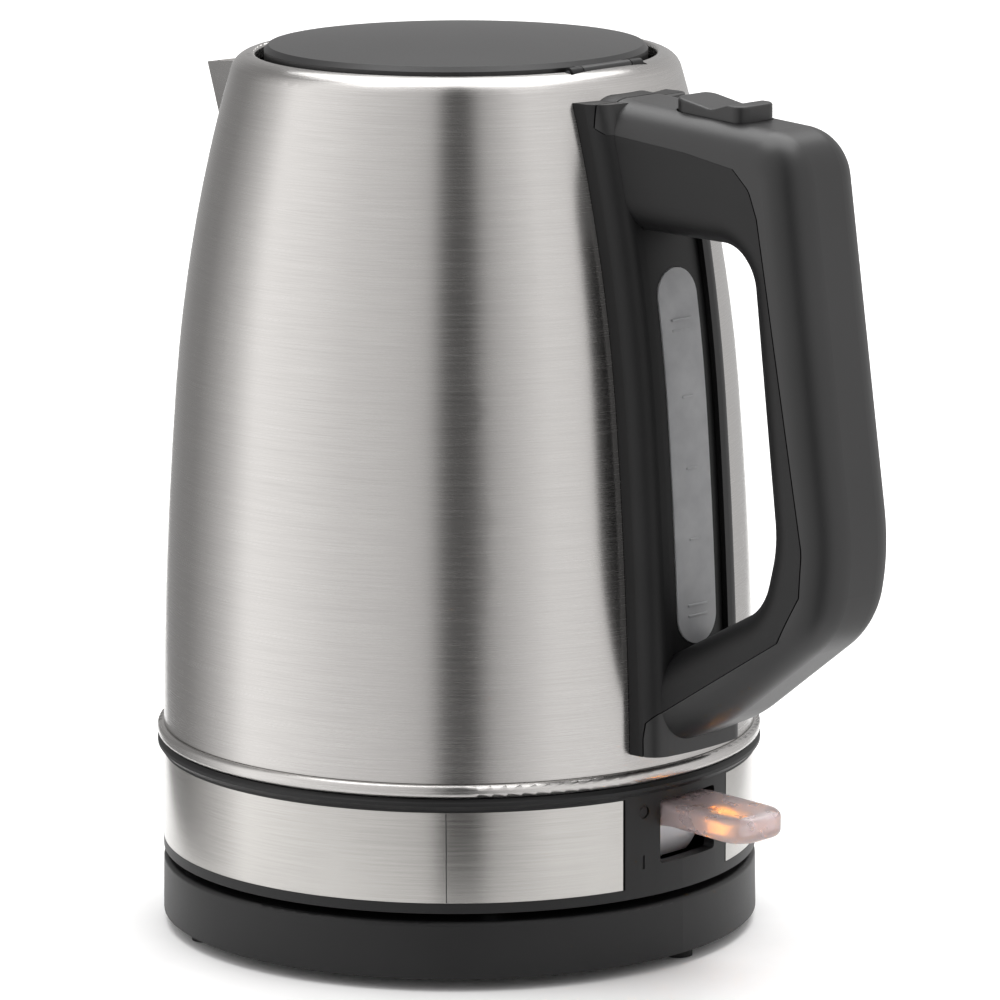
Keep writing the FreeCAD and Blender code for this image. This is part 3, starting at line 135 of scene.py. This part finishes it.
def plain_metal(name, dark, light, patch, rough):
    """Mill, plated or drawn metal: a soft cloudy tone and a slightly uneven polish."""
    material, tree = start(name)
    place = add(tree, "ShaderNodeTexCoord")
    clouds = add(tree, "ShaderNodeTexNoise", {"Scale": 1 / patch, "Detail": 4.0},
                 {"Vector": (place, "Object")})
    tone = add(tree, "ShaderNodeValToRGB", {"stops": [(0.35, linear(dark)), (0.65, linear(light))]},
               {"Fac": (clouds, "Fac")})
    polish = add(tree, "ShaderNodeMapRange", {"To Min": rough - 0.06, "To Max": rough + 0.08},
                 {"Value": (clouds, "Fac")})
    skin = add(tree, "ShaderNodeBsdfPrincipled", {"Metallic": 1.0},
               {"Base Color": (tone, "Color"), "Roughness": (polish, "Result")})
    add(tree, "ShaderNodeOutputMaterial", links={"Surface": (skin, "BSDF")})
    return material


def moulded(name, dark, light, grain, rough, depth, shine=1.5, gleam=0.5):
    """Moulded plastic or rubber: one colour, with the tool's fine spark-eroded grain."""
    material, tree = start(name)
    place = add(tree, "ShaderNodeTexCoord")
    pits = add(tree, "ShaderNodeTexNoise", {"Scale": 1 / grain, "Detail": 3.0, "Roughness": 0.6},
               {"Vector": (place, "Object")})
    flow = add(tree, "ShaderNodeTexNoise", {"Scale": 1 / (30 * MM), "Detail": 2.0},
               {"Vector": (place, "Object")})
    tone = add(tree, "ShaderNodeValToRGB", {"stops": [(0.35, linear(dark)), (0.65, linear(light))]},
               {"Fac": (flow, "Fac")})
    polish = add(tree, "ShaderNodeMapRange", {"To Min": rough - 0.05, "To Max": rough + 0.05},
                 {"Value": (pits, "Fac")})
    relief = add(tree, "ShaderNodeBump", {"Strength": 0.35, "Distance": depth},
                 {"Height": (pits, "Fac")})
    skin = add(tree, "ShaderNodeBsdfPrincipled", {"IOR": shine, "Specular IOR Level": gleam},
               {"Base Color": (tone, "Color"), "Roughness": (polish, "Result"),
                "Normal": (relief, "Normal")})
    add(tree, "ShaderNodeOutputMaterial", links={"Surface": (skin, "BSDF")})
    return material


def translucent(name, dark, light, patch, rough, clear, shine, glow=None):
    """Clear or frosted plastic and glass, slightly cloudy, lit from inside where glow is given."""
    material, tree = start(name)
    place = add(tree, "ShaderNodeTexCoord")
    haze = add(tree, "ShaderNodeTexNoise", {"Scale": 1 / patch, "Detail": 3.0},
               {"Vector": (place, "Object")})
    tone = add(tree, "ShaderNodeValToRGB", {"stops": [(0.3, linear(dark)), (0.7, linear(light))]},
               {"Fac": (haze, "Fac")})
    polish = add(tree, "ShaderNodeMapRange", {"To Min": rough - 0.05, "To Max": rough + 0.05},
                 {"Value": (haze, "Fac")})
    settings = {"IOR": shine, "Transmission Weight": clear}
    if glow:
        settings.update({"Emission Color": linear(glow[0]), "Emission Strength": glow[1]})
    skin = add(tree, "ShaderNodeBsdfPrincipled", settings,
               {"Base Color": (tone, "Color"), "Roughness": (polish, "Result")})
    add(tree, "ShaderNodeOutputMaterial", links={"Surface": (skin, "BSDF")})
    return material


# Grains finer than about 0.3 mm would not show, so they are drawn that coarse.
FINISHES = {
    # 18/10 stainless sheet, belt brushed level: pale, slightly warm, streaked highlights
    "brushed_steel": brushed("brushed_stainless", "#b1afad", "#bdbbb9", 0.28 * MM, 20 * MM, 0.25, 0.8),
    # thin trim strip from the same sheet, brushed finer and a little brighter
    "band_steel": brushed("brushed_trim_strip", "#aeaca9", "#bab8b5", 0.28 * MM, 24 * MM, 0.22, 0.8),
    "sheet_steel": plain_metal("mill_sheet_steel", "#8f8f90", "#b5b5b5", 6 * MM, 0.38),
    "screw_steel": plain_metal("zinc_plated_steel", "#8d9094", "#b9bcbf", 3 * MM, 0.28),
    "spring_steel": plain_metal("drawn_spring_wire", "#5b5c60", "#85868a", 2 * MM, 0.32),
    "element_sheath": plain_metal("oxidised_sheath", "#4a4643", "#6b6661", 5 * MM, 0.5),
    "aluminium": plain_metal("cast_aluminium", "#a3a5a7", "#c6c8ca", 4 * MM, 0.42),
    "brass": plain_metal("contact_brass", "#a98a4c", "#cdae6b", 3 * MM, 0.3),
    # ABS from a spark-eroded tool: nearly black, matt, with a broad soft sheen
    "black_plastic": moulded("matt_black_abs", "#0d0d0e", "#131314", 0.4 * MM, 0.46, 0.02 * MM, 1.5, 0.32),
    # the touched parts come from a finer tool, so the sheen is tighter
    "satin_plastic": moulded("satin_black_abs", "#0f0f10", "#151516", 0.35 * MM, 0.4, 0.012 * MM, 1.5, 0.55),
    "white_plastic": moulded("natural_nylon", "#cfccc4", "#dedbd3", 0.5 * MM, 0.5, 0.02 * MM),
    "grey_plastic": moulded("pale_grey_abs", "#c9c8cb", "#dbdadd", 0.5 * MM, 0.45, 0.01 * MM),
    "rubber": moulded("black_rubber", "#121212", "#191919", 0.6 * MM, 0.75, 0.03 * MM, 1.52, 0.3),
    "silicone": moulded("grey_silicone", "#a29b91", "#b3aca2", 0.6 * MM, 0.6, 0.02 * MM, 1.43),
    # frosted SAN tube, grey over the dark channel behind it
    "frosted_plastic": translucent("frosted_san", "#b9babd", "#d3d4d6", 8 * MM, 0.42, 0.45, 1.56),
    # clear polycarbonate with a faint rose tint, warmed by the lamp inside
    "lever_plastic": translucent("rose_polycarbonate", "#efdfe1", "#f8ecec", 7 * MM, 0.28, 0.76, 1.58),
    "lamp_glass": translucent("neon_lamp_glass", "#ffd9a0", "#ffe7c4", 2 * MM, 0.1, 0.9, 1.5,
                              ("#ffc27a", 0.4)),
    "electrode": translucent("lit_electrode", "#ffd24a", "#ffe27a", 1 * MM, 0.3, 0.0, 1.5,
                             ("#ffd03c", 34.0)),
}


def dress_nodes():
    """Give each node the finish of its slot."""
    for part in frame["record"]["subparts"]:
        slots = NODES[part["node"]].material_slots
        if not slots:
            NODES[part["node"]].data.materials.append(FINISHES[part["material_slot"]])
        for slot in slots:
            slot.material = FINISHES[part["material_slot"]]


# ---------------------------------------------------------------- small fittings
def piece(name, mesh, body, slot):
    """Put a finished bmesh on its body with its slot's finish."""
    data = bpy.data.meshes.new(name)
    mesh.to_mesh(data)
    mesh.free()
    data.materials.append(FINISHES[slot])
    for face in data.polygons:
        face.use_smooth = True
    thing = bpy.data.objects.new(name, data)
    bpy.context.scene.collection.objects.link(thing)
    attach(thing, body)


def bar(mesh, centre, size, soft):
    """A small bar with rounded edges, added to a mesh."""
    made = bmesh.ops.create_cube(mesh, size=1.0)["verts"]
    bmesh.ops.scale(mesh, vec=size, verts=made)
    bmesh.ops.translate(mesh, vec=centre, verts=made)
    edges = list({edge for vert in made for edge in vert.link_edges})
    bmesh.ops.bevel(mesh, geom=edges, offset=soft, segments=3, profile=0.5, affect="EDGES")


# The gauge's level marks: share of the tube's height, bar length in mm. The two ends are double bars.
LEVELS = [(0.85, 7.0), (0.66, 4.0), (0.47, 4.0), (0.28, 4.0), (0.09, 7.0)]
DOUBLE = (-1.3, 1.3)


def level_marks():
    """Plain raised bars at the gauge's levels, double and longer at the lowest and highest."""
    marks = bmesh.new()
    low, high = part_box("water_gauge")
    for share, long in LEVELS:
        height = low[2] + share * (high[2] - low[2])
        front = front_at(height)
        for rise in DOUBLE if share in (LEVELS[0][0], LEVELS[-1][0]) else (0.0,):
            bar(marks, (front, 0.0, height + rise * MM), (0.5 * MM, long * MM, 0.7 * MM), 0.15 * MM)
    piece("gauge_level_marks", marks, "jug", "frosted_plastic")


# Half the width of the gauge's front, clear of its rounded sides.
FRONT_HALF = 4.5 * MM


def front_at(height):
    """How far out the gauge's front is at a height, by the line between its points above and below."""
    points = [vert.co for vert in NODES["water_gauge"].data.vertices if abs(vert.co.y) < FRONT_HALF]
    above = min((p for p in points if p.z >= height), key=lambda p: (round(p.z - height, 3), -p.x))
    below = min((p for p in points if p.z < height), key=lambda p: (round(height - p.z, 3), -p.x))
    share = (height - below.z) / (above.z - below.z)
    return below.x + (above.x - below.x) * share


# Degrees round the jug from the handle's side.
SEAM_BEARING = -49.5


def band_seam_painted_shade():
    """The butt joint where the trim strip's two ends meet, drawn as painted shade: a thin black bar for the
    shade in the hairline groove.
    """
    low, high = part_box("steel_band")
    reach = -low[0]
    seam = bmesh.new()
    bar(seam, (reach, 0.0, (low[2] + high[2]) / 2), (0.16 * MM, 0.22 * MM, high[2] - low[2] - 0.2 * MM),
        0.03 * MM)
    turn = Matrix.Rotation(math.radians(SEAM_BEARING), 3, "Z")
    bmesh.ops.rotate(seam, cent=(0, 0, 0), matrix=turn, verts=seam.verts)
    # Painted shade: the black finish stands in for the shade in the hairline gap between the strip's ends,
    # not a filler.
    piece("band_seam_painted_shade", seam, "jug", "black_plastic")


# ---------------------------------------------------------------- studio
# The board's near and far ends: distance behind the jug's axis, reach to the left, reach to the right.
BOARD = [(-0.15, 0.125, 0.145), (2.4, 0.32, 0.36)]
BOARD_GAP = 0.2 * MM


def plain_floor():
    """A white board that widens away from the camera, so the steel reflects the tent beside it."""
    ground = bmesh.new()
    (near, left, right), (far, far_left, far_right) = BOARD
    outline = [(-left, near, 0.0), (right, near, 0.0), (far_right, far, 0.0), (-far_left, far, 0.0)]
    ground.faces.new([ground.verts.new(corner) for corner in outline])
    data = bpy.data.meshes.new("floor")
    ground.to_mesh(data)
    ground.free()
    material, tree = start("white_sweep_paper")
    place = add(tree, "ShaderNodeTexCoord")
    fibre = add(tree, "ShaderNodeTexNoise", {"Scale": 40.0}, {"Vector": (place, "Object")})
    tone = add(tree, "ShaderNodeValToRGB", {"stops": [(0.3, linear("#f6f6f6")), (0.7, linear("#f9f9f9"))]},
               {"Fac": (fibre, "Fac")})
    paper = add(tree, "ShaderNodeBsdfPrincipled", {"Roughness": 0.95, "Specular IOR Level": 0.1},
                {"Base Color": (tone, "Color")})
    add(tree, "ShaderNodeOutputMaterial", links={"Surface": (paper, "BSDF")})
    data.materials.append(material)
    floor = bpy.data.objects.new("floor", data)
    floor.location.z = -BOARD_GAP
    floor.rotation_euler.z = math.radians(FRONT)
    bpy.context.scene.collection.objects.link(floor)


def softbox(name, spot, target, wide, high, power):
    """A rectangular area light that faces a point."""
    lamp = bpy.data.lights.new(name, "AREA")
    lamp.shape = "RECTANGLE"
    lamp.size = wide
    lamp.size_y = high
    lamp.energy = power
    light = bpy.data.objects.new(name, lamp)
    light.location = spot
    light.rotation_euler = (Vector(target) - Vector(spot)).to_track_quat("-Z", "Y").to_euler()
    bpy.context.scene.collection.objects.link(light)


# The light tent's brightness round the object: degrees to the right of the camera, brightness.
# The dip at 0 is the gap that the camera looks through.
TENT = [(-180, 0.5), (-146, 0.34), (-130, 0.36), (-117, 0.6), (-104, 1.0), (-91, 1.66), (-69, 1.42),
        (-46, 1.12), (-25, 0.96), (-12, 0.82), (-5, 0.1), (6, 0.1), (13, 0.66), (37, 1.28), (90, 1.1),
        (150, 0.66), (180, 0.5)]
TENT_GAIN = 1.7


def light_tent():
    """A pale tent all round with one dark gap, where the camera stands."""
    world = bpy.data.worlds.new("light_tent")
    bpy.context.scene.world = world
    world.use_nodes = True
    tree = world.node_tree
    tree.nodes.clear()
    place = add(tree, "ShaderNodeTexCoord")
    turn = add(tree, "ShaderNodeMapping", {"Rotation": (0.0, 0.0, math.radians(90.0 - FRONT))},
               {"Vector": (place, "Generated")})
    parts = add(tree, "ShaderNodeSeparateXYZ", links={"Vector": (turn, "Vector")})
    bearing = add(tree, "ShaderNodeMath", {"operation": "ARCTAN2"}, {0: (parts, "Y"), 1: (parts, "X")})
    fraction = add(tree, "ShaderNodeMapRange", {"From Min": -math.pi, "From Max": math.pi},
                   {"Value": (bearing, "Value")})
    stops = [((angle + 180) / 360, (level / TENT_GAIN, level / TENT_GAIN * 0.99,
                                    level / TENT_GAIN * 0.985, 1.0)) for angle, level in TENT]
    wall = add(tree, "ShaderNodeValToRGB", {"stops": stops}, {"Fac": (fraction, "Result")})
    glow = add(tree, "ShaderNodeBackground", {"Strength": TENT_GAIN}, {"Color": (wall, "Color")})
    add(tree, "ShaderNodeOutputWorld", links={"Surface": (glow, "Background")})


def studio():
    light_tent()
    softbox("overhead", (-0.5, 0.6, 2.3), (-0.25, 0.3, 0.0), 2.6, 2.6, 70.0)
    bpy.context.scene.view_settings.view_transform = "Standard"


aim_camera()
dress_nodes()
level_marks()
band_seam_painted_shade()
plain_floor()
studio()
